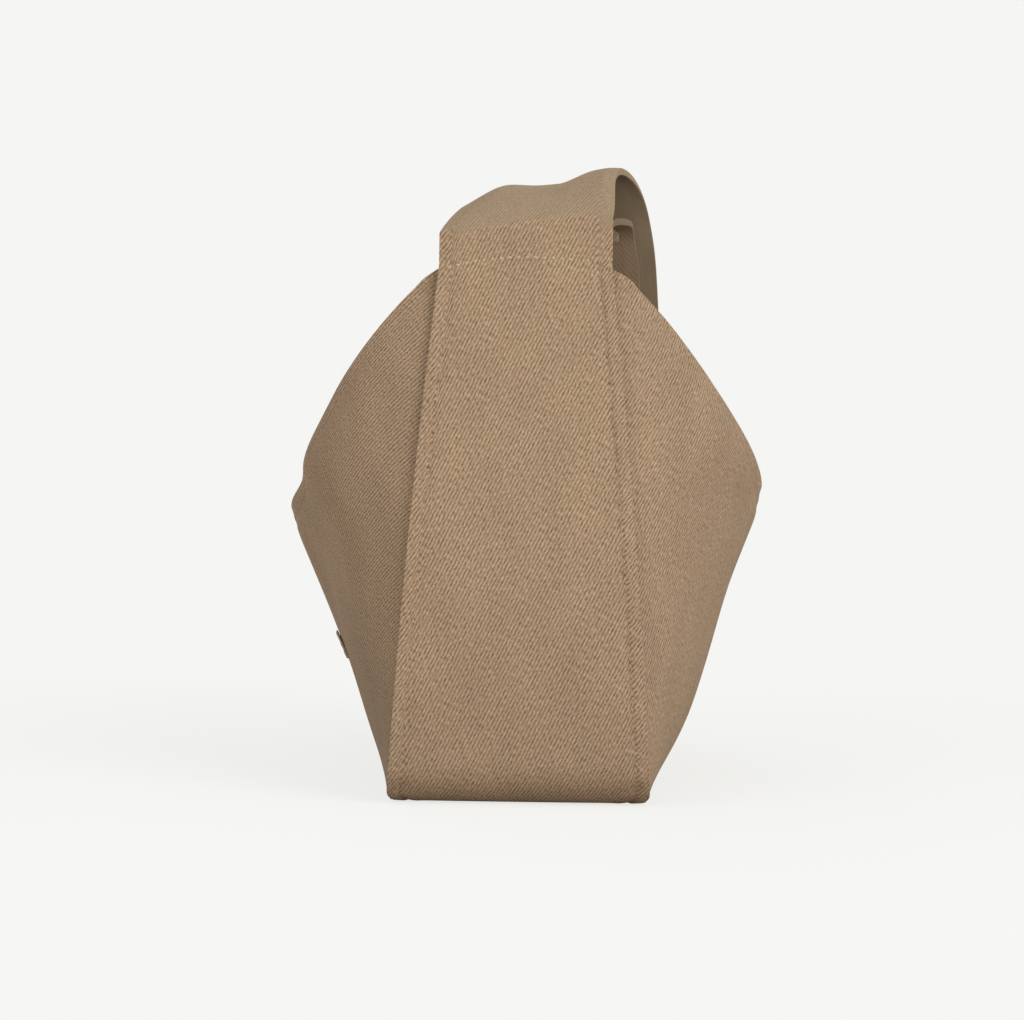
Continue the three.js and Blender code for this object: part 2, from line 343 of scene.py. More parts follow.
def lay_cloth(
    name, cloths, across, along, place, thickness, offset=-1.0, edge_round=0.0007, cut_from=None, hem=0,
    joined=(),
):
    """One piece of cloth: a flat grid laid into place, with its flat cut kept in metres as UVs. A second
    cloth in the list faces its back, and in a hem of some columns along both sides the weave lies slanted.
    A joined end, "first" or "last", meets the next piece of the same strip and keeps a plain edge."""
    columns = len(across)
    rows = len(along)
    bpy.ops.object.select_all(action="DESELECT")
    bpy.ops.mesh.primitive_grid_add(x_subdivisions=columns - 1, y_subdivisions=rows - 1, size=1)
    cloth = bpy.context.active_object
    cloth.name = name
    cloth.data.name = name
    for finish in cloths:
        cloth.data.materials.append(finish)
    spots = []
    for vertex in cloth.data.vertices:
        spots.append((round((vertex.co.x + 0.5) * (columns - 1)), round((vertex.co.y + 0.5) * (rows - 1))))
    laid = [[place(a, b) for b in along] for a in across]
    middle = columns // 2
    sideways = [[0.0] * rows for _ in range(columns)]
    upwards = [[start] * rows for start in (cut_from or [0.0] * columns)]
    for row in range(rows):
        for way, beyond in ((1, columns), (-1, -1)):
            for column in range(middle + way, beyond, way):
                step = (laid[column][row] - laid[column - way][row]).length
                sideways[column][row] = sideways[column - way][row] + way * step
    for column in range(columns):
        for row in range(1, rows):
            step = (laid[column][row] - laid[column][row - 1]).length
            upwards[column][row] = upwards[column][row - 1] + step
    cut_ends[name] = [lengths[-1] for lengths in upwards]
    slanted = Matrix.Rotation(hem_slant, 2)
    flat_cut = cloth.data.uv_layers.active.data
    for face in cloth.data.polygons:
        face_columns = [spots[vertex][0] for vertex in face.vertices]
        turned_in = max(face_columns) <= hem or min(face_columns) >= columns - 1 - hem
        for index in face.loop_indices:
            column, row = spots[cloth.data.loops[index].vertex_index]
            place_on_cut = Vector((sideways[column][row], upwards[column][row]))
            flat_cut[index].uv = slanted @ place_on_cut if turned_in else place_on_cut
    for vertex, (column, row) in zip(cloth.data.vertices, spots):
        vertex.co = laid[column][row]
    layer = cloth.modifiers.new("cloth_thickness", "SOLIDIFY")
    layer.thickness = thickness
    layer.offset = offset
    layer.use_even_offset = True
    layer.material_offset = len(cloths) - 1
    bpy.ops.object.modifier_apply(modifier=layer.name)
    flat_cut = cloth.data.uv_layers.active.data
    for face in cloth.data.polygons:
        if min(face.vertices) >= len(spots) or max(face.vertices) < len(spots):
            continue
        for index in face.loop_indices:
            back_vertex = cloth.data.loops[index].vertex_index - len(spots)
            if back_vertex >= 0:
                column, row = spots[back_vertex]
                beyond_side = (column == columns - 1) - (column == 0)
                beyond_end = (row == rows - 1) - (row == 0)
                flat_cut[index].uv += Vector((beyond_side, beyond_end)) * thickness
    joined_rows = [row for end, row in (("first", 0), ("last", rows - 1)) if end in joined]
    free_rows = [row for row in (0, rows - 1) if row not in joined_rows]
    at_join = cloth.data.attributes.new("at_join", "FLOAT", "POINT")
    for vertex in cloth.data.vertices:
        at_join.data[vertex.index].value = float(spots[vertex.index % len(spots)][1] in joined_rows)
    turned = cloth.data.attributes.new("bevel_weight_edge", "FLOAT", "EDGE")
    for edge in cloth.data.edges:
        near, other = edge.vertices
        near_column, near_row = spots[near % len(spots)]
        other_column, other_row = spots[other % len(spots)]
        on_side = near_column == other_column and near_column in (0, columns - 1)
        on_face = (near < len(spots)) == (other < len(spots))
        on_end = near_row == other_row and near_row in free_rows
        turned.data[edge.index].value = float(on_side or on_end if on_face else on_side and on_end)
    turned_edge = cloth.modifiers.new("turned_edge", "BEVEL")
    turned_edge.width = edge_round
    turned_edge.segments = 3
    turned_edge.limit_method = "WEIGHT"
    bpy.ops.object.modifier_apply(modifier=turned_edge.name)
    bpy.ops.object.shade_smooth()
    at_join = cloth.data.attributes["at_join"]
    for edge in cloth.data.edges:
        edge.use_edge_sharp = min(at_join.data[vertex].value for vertex in edge.vertices) > 0.5
    cloth.data.attributes.remove(at_join)
    return cloth


def shade_ramp(tree, source, output, dark, light):
    """A colour between two linear colours, by another node's value."""
    ramp = add_node(tree, "ShaderNodeValToRGB", [("Fac", source, output)])
    ramp.color_ramp.elements[0].color = dark
    ramp.color_ramp.elements[1].color = light
    return ramp


def grain(tree, source, output, scale, detail, roughness=0.5):
    """Soft uneven grain, as a value at another node's coordinates."""
    return add_node(
        tree, "ShaderNodeTexNoise", [("Vector", source, output)],
        inputs={"Scale": scale, "Detail": detail, "Roughness": roughness},
    )


def matt_surface(tree, colour, output, inputs, relief=None):
    """The surface itself: its colour, the values that set how it takes light, and any relief."""
    links = [("Base Color", colour, output)]
    if relief:
        links.append(("Normal", relief, 0))
    surface = add_node(tree, "ShaderNodeBsdfPrincipled", links, inputs)
    add_node(tree, "ShaderNodeOutputMaterial", [("Surface", surface, 0)])


wave_period = 2 * math.pi / 20


def brushed_twill(
    name, ridge_angle, ridge_pitch, groove, body, ridge, painted_low_shade, painted_light_from=1.0, painted_light_share=0.4, painted_light_colour="#90856F",
):
    """Heavy cotton twill: steep diagonal ridges a little over a millimetre apart, slubby and lightly
    brushed, so it is matt with a soft nap, and its colour is faintly mottled. Towards the base of its
    strip it is darker, a painted shade. Beyond a length along the strip its ridges are smoothed and its
    colour is drawn towards a second colour: painted sheen where a handle turns over its crest, and
    painted shade inside a handle's loop."""
    slub_share = 3.4
    slub_span = (1.15, 3.15)
    slubs_across = 1.8 / ridge_pitch
    slubs_along = 0.85 / ridge_pitch
    mottle_scale = (60, 26, 1)
    mottle_span, mottle_tones = (0.3, 0.7), (0.92, 1.07)
    body_at = 0.45
    crease_slope = math.tan(math.radians(8.5))
    painted_light_fade = 0.003
    low_shade_height = 0.11
    cloth, tree = new_finish(name)
    flat = add_node(tree, "ShaderNodeTexCoord")
    turned = add_node(
        tree, "ShaderNodeMapping", [("Vector", flat, "UV")],
        inputs={"Rotation": (0, 0, math.pi / 2 - ridge_angle)},
    )
    ridges = add_node(
        tree, "ShaderNodeTexWave", [("Vector", turned, 0)], wave_type="BANDS", bands_direction="X",
        inputs={"Scale": wave_period / ridge_pitch, "Distortion": 1.0, "Detail": 2.0, "Detail Scale": 1.6},
    )
    stretched = add_node(
        tree, "ShaderNodeMapping", [("Vector", turned, 0)],
        inputs={"Scale": (slubs_across, slubs_along, 1.0)},
    )
    slubs = grain(tree, stretched, 0, scale=1.0, detail=2.0, roughness=0.6)
    drawn_out = add_node(tree, "ShaderNodeMapping", [("Vector", flat, "UV")], inputs={"Scale": mottle_scale})
    mottle = grain(tree, drawn_out, 0, scale=1.0, detail=4.0, roughness=0.6)
    slubby = add_node(
        tree, "ShaderNodeMath", [(0, slubs, "Fac"), (2, ridges, "Fac")], operation="MULTIPLY_ADD",
        inputs={1: slub_share},
    )
    tone = map_range(tree, slubby, 0, slub_span, (0.0, 1.0), smooth=False)
    strip = add_node(tree, "ShaderNodeSeparateXYZ", [("Vector", flat, "UV")])
    past_crease = add_node(
        tree, "ShaderNodeVectorMath", [(0, flat, "UV")], operation="DOT_PRODUCT",
        inputs={1: (-crease_slope, 1, 0)},
    )
    # Painted light: past the crease line the ridges are smoothed and the colour is drawn to a second colour,
    # painted sheen over a handle's crest and painted shade inside a handle's loop.
    painted_light_mask = map_range(tree, past_crease, "Value", (painted_light_from, painted_light_from + painted_light_fade), (0.0, painted_light_share))
    smooth_tone = add_node(
        tree, "ShaderNodeMix", [("Factor", painted_light_mask, 0), ("A", tone, 0)], data_type="FLOAT", inputs={"B": 0.5}
    )
    shades = shade_ramp(tree, smooth_tone, "Result", to_linear(groove), to_linear(ridge))
    shades.color_ramp.elements.new(body_at).color = to_linear(body)
    # A mix node keeps its two colours at inputs 6 and 7, and the mixed colour at output 2.
    painted_light_shades = add_node(
        tree, "ShaderNodeMix", [("Factor", painted_light_mask, 0), (6, shades, "Color")], data_type="RGBA",
        inputs={7: to_linear(painted_light_colour)},
    )
    wear = map_range(tree, mottle, "Fac", mottle_span, mottle_tones, smooth=False)
    # Painted shade: the cloth is darker towards the base of its strip, fading out at a set height.
    low_shade_mask = map_range(tree, strip, "Y", (0.0, low_shade_height), (painted_low_shade, 1.0))
    mottle_and_low_shade = add_node(tree, "ShaderNodeMath", [(0, wear, 0), (1, low_shade_mask, 0)], operation="MULTIPLY")
    colour = add_node(
        tree, "ShaderNodeVectorMath", [(0, painted_light_shades, 2), (1, mottle_and_low_shade, 0)], operation="MULTIPLY"
    )
    relief = add_node(
        tree, "ShaderNodeBump", [("Height", smooth_tone, "Result")],
        inputs={"Strength": 0.7, "Distance": 0.0005},
    )
    takes_light = {
        "Roughness": 0.92, "IOR": 1.45, "Specular IOR Level": 0.25, "Sheen Weight": 0.12,
        "Sheen Roughness": 0.5, "Sheen Tint": to_linear("#D8C4A6"),
    }
    matt_surface(tree, colour, 0, takes_light, relief)
    return cloth


# Both walls' twill is darker towards the base, the left wall far more: painted shade, heaviest on the side
# away from the key light.
wall_twills = {
    "left": brushed_twill(
        "left_wall_brushed_twill", math.radians(36), 0.0011, "#7B6248", "#A88B6F", "#C9B197", 0.74
    ),
    "right": brushed_twill(
        "right_wall_brushed_twill", math.radians(68), 0.00145, "#7B6248", "#A88B6F", "#C9B197", 0.97
    ),
}
wall_columns = spread(-1.0, 1.0, 140, 0.85)
wall_rows = spread(0.0, 1.0, 64, 0.75)


def wall_cut(wall, bottom, depth):
    """Where each point of a wall's cloth lies: along its length, then up from its bottom to its mouth."""
    def place(along, up):
        height = bottom + (rim_height_at(wall, along) - bottom) * up
        y = wall["side"] * along * end_reach(height, wall_bottom + wall_tuck)
        return soft_wall(wall, y, height, depth)

    return place


for wall_name, wall in walls.items():
    piece = lay_cloth(
        f"{wall_name}_wall", [wall_twills[wall_name]], wall_columns, wall_rows,
        wall_cut(wall, wall_bottom, 0.0), twill_thickness,
    )
    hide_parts(f"{wall_name}_panel")
    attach(piece, "bag")


# Base: a flat strip of the same twill under the stiff board, sewn to both end bands and both walls.
# It follows the walls' bottom edges from end to end, just inside them.
base_low, base_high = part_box("base_panel")
base_seam = 0.0004


def base_cut(across, y):
    """Where each point of the base's cloth lies: from wall to wall, just inside their bottom edges."""
    wall = walls["right" if across < 0 else "left"]
    return Vector((-across * (wall_half_width(wall, y, wall_bottom) - base_seam), y, base_low.z))


base = lay_cloth(
    "base_cloth", [wall_twills["right"]], spread(-1.0, 1.0, 24), spread(base_low.y, base_high.y, 60),
    base_cut, base_high.z - base_low.z,
)
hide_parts("base_panel")
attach(base, "bag")


# End bands and handles: one long strip of twill starts at the base seam, turns up the end of the bag,
# is stitched across at the mouth and goes on as the handle. The handle creases over, slumps across a
# tilted crest, hangs into the bag, turns at the bottom and comes back under itself to the stitch row.
strap_thickness = 0.0026
leg_spacing = 0.009
handle_plan = {
    "long_handle": {
        "end": -1, "band": "near", "tilt": math.radians(7), "fold_height": 0.0105, "fold_radius": 0.020,
        "crest_run": 0.006, "layer_spacing": 0.018, "inner_radius": 0.007, "leg_length": 0.090,
        "crease": 0.0155, "crease_reach": 0.024,
        "push": 0.0085, "tuck": 0.010, "droop": 0.0036, "hump": 0.0036, "ripple": 0.0022, "crisp": 1.6,
        "crumple": 0.002,
    },
    "short_handle": {
        "end": 1, "band": "far", "tilt": math.radians(4), "fold_height": 0.005, "fold_radius": 0.013,
        "crest_run": 0.008, "layer_spacing": 0.008, "inner_radius": 0.006, "leg_length": 0.040,
        "crease": 0.0075, "crease_reach": 0.017,
        "push": 0.0015, "tuck": 0.002, "droop": 0.001, "hump": 0.0015, "ripple": 0.001, "crisp": 1.3,
        "crumple": 0.001,
    },
}
band_pillow = 0.0016
pillow_power = 0.7
stitch_inset = 0.0052
stitch_groove = 0.0007
groove_width = 0.0011
hem_rise = 0.0004
hem_from = 0.5
pucker = 0.00022
pucker_width = 0.004
pucker_pitch = 0.009
pucker_wander = 3
wander_rate = 30
band_slack = 0.0008
band_slack_size = 0.04
band_seed = 5.0
strap_slack = 0.0008
strap_slack_size = 0.02
strap_seed = 21.0
strap_edge_round = 0.0012
hem_share = 0.8
inner_softness = 0.6
inner_reach_share = 0.8
shortest_crest = 0.001
smallest_angle = 0.0001
push_from_share = 0.4
push_full_share = 0.77
push_fade_share = 1.8
slack_fade_share = 3
hump_span = (0.15, 0.65, 0.75, 1.6)
droop_from = 0.5
ripple_at = -0.55
ripple_width = 0.36
crumple_size = 0.027
corner_length = corner_radius * math.pi / 2
band_length = corner_length + band_height - corner_radius
# The band's twill is a little darker towards its base, a painted shade, and over the handle from a little
# past the crease it is smoothed and greyer, a painted sheen.
crest_sheen_start = 0.0172
band_twill = brushed_twill(
    "band_brushed_twill", math.radians(64), 0.0013, "#7B6147", "#A98C6F", "#CCB398", 0.9,
    band_length + crest_sheen_start,
)
# The inner strap's twill takes darker colours and is smoothed and darkened further all along: painted shade
# inside the handle's loop.
shaded_inner_twill = brushed_twill(
    "inner_strap_painted_shade_twill", math.radians(64), 0.0013, "#74614B", "#846F58", "#958069", 1.0,
    0.0, 0.75, "#846F58",
)


def plain_lining(name, dark, light):
    """Plain-woven cotton lining: fine threads at right angles, matt, with a soft uneven dye."""
    thread_pitch = 0.0006
    weave_share = 0.5
    cloth, tree = new_finish(name)
    flat = add_node(tree, "ShaderNodeTexCoord")
    weave = [
        add_node(
            tree, "ShaderNodeTexWave", [("Vector", flat, "UV")], wave_type="BANDS", bands_direction=direction,
            inputs={"Scale": wave_period / thread_pitch, "Distortion": 0.6, "Detail": 1.0},
        )
        for direction in ("X", "Y")
    ]
    height = add_node(
        tree, "ShaderNodeMath", [(0, weave[0], "Fac"), (1, weave[1], "Fac")], operation="MULTIPLY"
    )
    dye = grain(tree, flat, "UV", scale=60.0, detail=4.0)
    tone = add_node(
        tree, "ShaderNodeMath", [(0, height, 0), (2, dye, "Fac")], operation="MULTIPLY_ADD",
        inputs={1: weave_share},
    )
    shades = shade_ramp(tree, tone, 0, to_linear(dark), to_linear(light))
    relief = add_node(
        tree, "ShaderNodeBump", [("Height", height, 0)], inputs={"Strength": 0.4, "Distance": 0.0001}
    )
    takes_light = {"Roughness": 0.95, "Specular IOR Level": 0.2, "Sheen Weight": 0.05}
    matt_surface(tree, shades, "Color", takes_light, relief)
    return cloth


lining_cotton = plain_lining("tan_lining_cotton", "#937F69", "#AF9A81")
# The straps' undersides take a darker lining than the bag's: painted shade under the handles.
shaded_strap_lining = plain_lining("strap_lining_painted_shade", "#74644F", "#8A7861")


def band_station(distance):
    """The band's reach and height after a length of strip from the base seam, and its outward direction."""
    if distance < corner_length:
        angle = distance / corner_radius
        reach = half_length - corner_radius + corner_radius * math.sin(angle)
        return reach, corner_radius - corner_radius * math.cos(angle), math.sin(angle), -math.cos(angle)
    height = corner_radius + distance - corner_length
    return end_reach(height, 0.0), height, 1.0, 0.0


def band_point(end, across, distance, proud=0.0):
    """A point on the band's outer face: a share across it, and a length up from the base seam."""
    reach, height, out, up = band_station(distance)
    half = band_half_width(height) - foot_inset(height)
    inset = half * (1 - abs(across))
    upright = min(1.0, distance / band_length)
    crown = band_pillow * math.sin(math.pi * upright) ** pillow_power * (1 - across * across)
    seam = math.exp(-(((inset - stitch_inset) / groove_width) ** 2))
    drawn = pucker * math.exp(-(((inset - stitch_inset) / pucker_width) ** 2))
    uneven = pucker_wander * noise.noise(Vector((across, distance * wander_rate, end)))
    wave = drawn * math.sin(2 * math.pi * distance / pucker_pitch + uneven)
    here = Vector((across * half, end * reach, height))
    loose = slack_cloth(here, band_slack_size, band_slack, band_seed + end) * math.sin(math.pi * upright)
    hemmed = min(1.0, max(0.0, distance / corner_length - hem_from))
    folded = hem_rise * hemmed if inset < stitch_inset else 0.0
    outward = crown - stitch_groove * seam + folded + wave + loose + proud
    return Vector((across * half, end * (reach + out * outward), height + up * outward))


def strap_path(handle, layer):
    """One layer of a folded strap: where it starts inward of the end, its crease, crest and drop."""
    outer_start = strap_thickness / 2
    outer_leg = outer_start + 2 * handle["fold_radius"] + handle["crest_run"]
    if layer == "outer":
        start, height = outer_start, handle["fold_height"]
        radius, run = handle["fold_radius"], handle["crest_run"]
        crease, reach, softness, crisp = handle["crease"], handle["crease_reach"], 1.0, handle["crisp"]
        crumple = 0.0
    else:
        start, radius = outer_start + strap_thickness + seam_gap, handle["inner_radius"]
        height = handle["fold_height"] + handle["fold_radius"] - handle["layer_spacing"] - radius
        run = outer_leg - leg_spacing - start - 2 * radius
        crease, reach, softness, crisp = height, radius + inner_reach_share * run, inner_softness, 1.0
        crumple = handle["crumple"]
    top = height + radius
    rise = top - crease
    crest_from = crease + math.pi / 2 * math.sqrt((reach * reach + rise * rise) / 2)
    crest_to = max(crest_from + shortest_crest, height + radius * math.pi / 2 + run)
    return dict(
        start=start, height=height, radius=radius, run=run, crease=crease, reach=reach, rise=rise, top=top,
        softness=softness, crisp=crisp, crumple=crumple, crest_from=crest_from, crest_to=crest_to,
        crest=(crest_from + crest_to) / 2, leg=crest_to + radius * math.pi / 2,
    )


def strap_section(path, s, proud):
    """How far inward and how high a strap layer lies after a length s, or proud of its middle face."""
    start, radius = path["start"], path["radius"]
    if s < path["crease"]:
        return start - proud, s
    if s < path["crest_from"]:
        share = (s - path["crease"]) / (path["crest_from"] - path["crease"])
        angle = max(smallest_angle, share * math.pi / 2)
        reach, rise, crisp = path["reach"], path["rise"], path["crisp"]
        cosine, sine = math.cos(angle), math.sin(angle)
        back, up = -rise * crisp * sine ** (crisp - 1) * cosine, reach * sine
        scale = proud / math.hypot(back, up)
        inward = start + reach * (1 - cosine) + back * scale
        return inward, path["crease"] + rise * sine ** crisp + up * scale
    if s < path["crest_to"]:
        share = (s - path["crest_from"]) / (path["crest_to"] - path["crest_from"])
        run_from, run_to = path["reach"], radius + path["run"]
        return start + run_from + (run_to - run_from) * share, path["top"] + proud
    if s < path["leg"]:
        angle = (s - path["crest_to"]) / radius
        reach = radius + proud
        inward = start + radius + path["run"] + reach * math.sin(angle)
        return inward, path["height"] + reach * math.cos(angle)
    return start + 2 * radius + path["run"] + proud, path["height"] - (s - path["leg"])


def swell(s, rise_from, full_from, full_to, fade_to):
    """0 outside a stretch of strap, 1 in its middle, and smooth between."""
    climb = min(1.0, max(0.0, (s - rise_from) / (full_from - rise_from)))
    fall = min(1.0, max(0.0, (fade_to - s) / (fade_to - full_to)))
    return climb * climb * (3 - 2 * climb) * fall * fall * (3 - 2 * fall)


def strap_frame(handle, shift, inward, rise):
    """A place given along the tilted crest, inward from the end's face, and square to the crest."""
    tilt = handle["tilt"]
    return Vector((
        shift * math.cos(tilt) - rise * math.sin(tilt),
        handle["end"] * (end_reach(band_height, 0.0) - inward),
        band_height + seam_gap + shift * math.sin(tilt) + rise * math.cos(tilt),
    ))


def strap_point(handle, path, across, length, proud=0.0):
    """A point on a strap layer at a length of strip above the stitch row, slumped as soft cloth lies."""
    tilt = handle["tilt"]
    u = across * strap_half
    s = length * math.cos(tilt) - u * math.sin(tilt)
    inward, rise = strap_section(path, s, proud)
    point = strap_frame(handle, u / math.cos(tilt) + s * math.tan(tilt), inward, rise)
    crest_from, crest_to, leg = path["crest_from"], path["crest_to"], path["leg"]
    over = swell(s, path["crease"], crest_from, crest_to, leg)
    push_from = crest_from - push_from_share * (crest_from - path["crease"])
    push_full = crest_to + push_full_share * (leg - crest_to)
    pushed = swell(s, push_from, push_full, push_full, push_fade_share * leg)
    hump = handle["hump"] * swell(across, *hump_span)
    droop = handle["droop"] * max(0.0, -across - droop_from) ** 2 / droop_from ** 2
    ripple = handle["ripple"] * math.exp(-(((across - ripple_at) / ripple_width) ** 2))
    loose = slack_cloth(point, strap_slack_size, strap_slack, strap_seed)
    loose *= swell(s, 0.0, path["crease"], leg, slack_fade_share * leg)
    soft = path["softness"]
    turn = 2 * math.pi * (s - path["crease"]) / crumple_size
    crumple = path["crumple"] * max(0.0, across) ** 2 * swell(s, 0.0, path["crease"], crest_from, leg)
    point.x += soft * (handle["push"] * pushed + handle["tuck"] * over * (1 - across) / 2)
    point.x += crumple * math.sin(turn)
    point.z += soft * (hump + ripple - droop) * over + loose - crumple * (1 - math.cos(turn)) / 2
    return point


def crest_length(handle, path, across):
    """The length of strip from the stitch row to the middle of the crest, which is cut along the crest."""
    tilt = handle["tilt"]
    return (path["crest"] + across * strap_half * math.sin(tilt)) / math.cos(tilt)


def leg_bottom(handle, path, paths):
    """The length of strip from the stitch row to the start of the turn at the bottom of the loop."""
    drop = handle["leg_length"] + path["height"] - paths["outer"]["height"]
    return (path["leg"] + drop) / math.cos(handle["tilt"])


def across_cloth(column, half):
    """The share across a strip for a place in its grid, whose outer columns keep to the sewn hem."""
    inner = half - stitch_inset
    if abs(column) <= hem_share:
        return column / hem_share * inner / half
    return math.copysign(inner + stitch_inset * (abs(column) - hem_share) / (1 - hem_share), column) / half


def strap_front(handle, path, with_band):
    """The strip from the base seam, or from the stitch row, up to the middle of the crest."""
    proud = strap_thickness / 2 if with_band else 0.0

    def place(column, along):
        if along <= 1.0:
            distance = along * band_length
            half = band_half_width(band_station(distance)[1])
            return band_point(handle["end"], -handle["end"] * across_cloth(column, half), distance)
        side = -handle["end"] * across_cloth(column, strap_half)
        return strap_point(handle, path, side, (along - 1.0) * crest_length(handle, path, side), proud)

    return place


def strap_back(handle, paths, layer):
    """The strip from the middle of the crest, down its leg and half way round the turn at the bottom."""
    path = paths[layer]
    tilt = handle["tilt"]
    leg_down = Vector((math.sin(2 * tilt), 0, -math.cos(2 * tilt)))
    way, proud = (1, strap_thickness / 2) if layer == "outer" else (-1, 0.0)

    def place(column, along):
        side = -handle["end"] * across_cloth(column, strap_half)
        if along <= 1.0:
            top = crest_length(handle, path, side)
            length = top + (leg_bottom(handle, path, paths) - top) * along
            return strap_point(handle, path, side, length, proud)
        turn = (along - 1.0) * math.pi / 2
        outer, inner = (
            strap_point(handle, paths[side_layer], side, leg_bottom(handle, paths[side_layer], paths))
            for side_layer in ("outer", "inner")
        )
        swing = (outer - inner) / 2 * way
        swing += swing.normalized() * proud
        bottom = leg_down * (leg_spacing / 2 + proud)
        return (outer + inner) / 2 + swing * math.cos(turn) + bottom * math.sin(turn)

    return place


strap_columns = spread(-1.0, -hem_share, hem_columns)[:-1]
strap_columns += spread(-hem_share, hem_share, 56) + spread(hem_share, 1.0, hem_columns)[1:]
band_rows = spread(0.0, 1.0, 110, 0.2) + spread(1.0, 2.0, 40)[1:]
above_row = 1.0001
front_rows = spread(above_row, 2.0, 30)
back_rows = spread(0.0, 1.0, 64) + spread(1.0, 2.0, 6)[1:]
strap_paths = {}
for handle_name, handle in handle_plan.items():
    paths = {layer: strap_path(handle, layer) for layer in ("outer", "inner")}
    strap_paths[handle_name] = paths
    for layer, path in paths.items():
        with_band = layer == "outer"
        offset = -1.0 if with_band else 0.0
        faces = [band_twill, shaded_strap_lining] if with_band else [shaded_strap_lining, shaded_inner_twill]
        front_name = f"{handle['band']}_band" if with_band else f"{handle_name}_inner_front"
        front = lay_cloth(
            front_name, faces, strap_columns, band_rows if with_band else front_rows,
            strap_front(handle, path, with_band), strap_thickness, offset, strap_edge_round,
            None if with_band else [band_length] * len(strap_columns), hem_columns, ("last",),
        )
        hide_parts(f"{handle_name}_root_{layer}", f"{handle_name}_fold_{layer}")
        if with_band:
            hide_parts(f"{handle['band']}_end_gusset")
        strap_frame(handle, 0.0, path["start"], path["crease"])
        strap_frame(handle, 0.0, path["start"] + path["reach"], path["top"])
        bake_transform(front)
        back = lay_cloth(
            f"{handle_name}_{layer}_back", faces, strap_columns, back_rows, strap_back(handle, paths, layer),
            strap_thickness, offset, strap_edge_round, cut_ends[front_name], hem_columns, ("first", "last"),
        )
        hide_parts(f"{handle_name}_crest_{layer}", f"{handle_name}_drop_{layer}")
        if with_band:
            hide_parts(f"{handle_name}_loop")
        drop = path["start"] + path["radius"] + path["run"]
        strap_frame(handle, 0.0, drop, path["top"])
        strap_frame(handle, 0.0, drop + path["radius"], path["height"])
        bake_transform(back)


# Lining: plain tan cotton inside the walls, the ends and over the base, sewn in at the mouth and seams.
# It follows the twill behind it, a little below the mouth edge, and lies loose over the board.
lining_thickness = 0.001
lining_gap = 0.0006
lining_depth = twill_thickness + lining_gap
lining_edge_round = 0.0003
lining_top = 0.985
lining_top_gap = 0.001
lining_bottom = 0.006
lining_tuck = 0.0002
lining_slack = 0.0004
slack_rate = 40
lining_turn = 0.004
lining_overlap = 0.0003
lining_clearance = 0.0001
lining_columns = spread(-1.0, 1.0, 110, 0.8)
lining_rows = spread(0.0, lining_top, 40, 0.5)
linings = []
for wall_name, wall in walls.items():
    piece = lay_cloth(
        f"{wall_name}_lining_cloth", [lining_cotton], lining_columns, lining_rows,
        wall_cut(wall, lining_bottom, lining_depth), lining_thickness, edge_round=lining_edge_round,
    )
    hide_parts(f"{wall_name}_lining")
    linings.append(piece)


def end_lining_cut(end, low, high):
    """Where each point of an end's lining lies: behind the band, its sides turned in along the walls'
    lining so that the corner is closed."""
    def place(across, up):
        height = low + (high - low) * up
        wall = walls["right" if end * across < 0 else "left"]
        wall_end = end * end_reach(height, wall_bottom + wall_tuck)
        corner = soft_wall(wall, wall_end, height, lining_depth + lining_thickness)
        half = abs(corner.x) - lining_clearance
        flat = end_reach(height, lining_depth)
        side = max(0.0, 1 - (1 - abs(across)) * half / lining_turn)
        turned_in = max(0.0, flat - abs(corner.y) + lining_overlap) * side * side
        return Vector((-end * across * half, end * (flat - turned_in), height))

    return place


for end_name, end in (("near", -1), ("far", 1)):
    end_low, end_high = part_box(f"{end_name}_end_lining")
    piece = lay_cloth(
        f"{end_name}_end_lining_cloth", [lining_cotton],
        spread(-1.0, 1.0, 48, 0.7), spread(0.0, 1.0, 60, 0.5),
        end_lining_cut(end, end_low.z, end_high.z - lining_top_gap), lining_thickness,
        edge_round=lining_edge_round,
    )
    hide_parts(f"{end_name}_end_lining")
    linings.append(piece)

floor_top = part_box("base_lining")[1].z
base_lining_reach = end_reach(lining_bottom, lining_depth) - lining_thickness


def base_lining_cut(across, y):
    """Where each point of the base's lining lies: over the board, and out to the walls' lining."""
    wall = walls["left" if across < 0 else "right"]
    half = wall_half_width(wall, y, lining_bottom) - twill_thickness - lining_tuck
    ruck = lining_slack * (1 + noise.noise(Vector((across * half, y, 0)) * slack_rate))
    return Vector((across * half, y, floor_top + ruck))


base_lining = lay_cloth(
    "base_lining_cloth", [lining_cotton],
    spread(-1.0, 1.0, 40), spread(-base_lining_reach, base_lining_reach, 110), base_lining_cut,
    lining_thickness, edge_round=lining_edge_round,
)
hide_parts("base_lining")
linings.append(base_lining)
for piece in linings:
    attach(piece, "bag")


# Base board: a stiff sheet of recycled board between the base cloth and the lining keeps the base flat.
# Its plain cut sheet is right as it is, and shows only a faint fibre.
board_fibre, tree = new_finish("grey_fibre_board")
board_place = add_node(tree, "ShaderNodeTexCoord")
fibres = grain(tree, board_place, "Object", scale=900.0, detail=6.0, roughness=0.7)
board_shades = shade_ramp(tree, fibres, "Fac", to_linear("#7A7168"), to_linear("#9A9187"))
board_relief = add_node(
    tree, "ShaderNodeBump", [("Height", fibres, "Fac")], inputs={"Strength": 0.3, "Distance": 0.0002}
)
matt_surface(tree, board_shades, "Color", {"Roughness": 0.85}, board_relief)
board = bpy.data.objects["base_board"]
board.data.materials.clear()
board.data.materials.append(board_fibre)


# Label: a blank folded tape sewn flat on the left wall, low down and nearer the long handle's end.
# Seen from that end it shows only as a thin edge, whose upper corner stands off the wall a little.
label_low, label_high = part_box("label_patch")
label_thickness = 0.0007
label_lift = 0.0001
label_curl = 0.0006
label_edge_round = 0.0003
label_tape = plain_lining("blank_woven_tape", "#A3927A", "#C4B497")


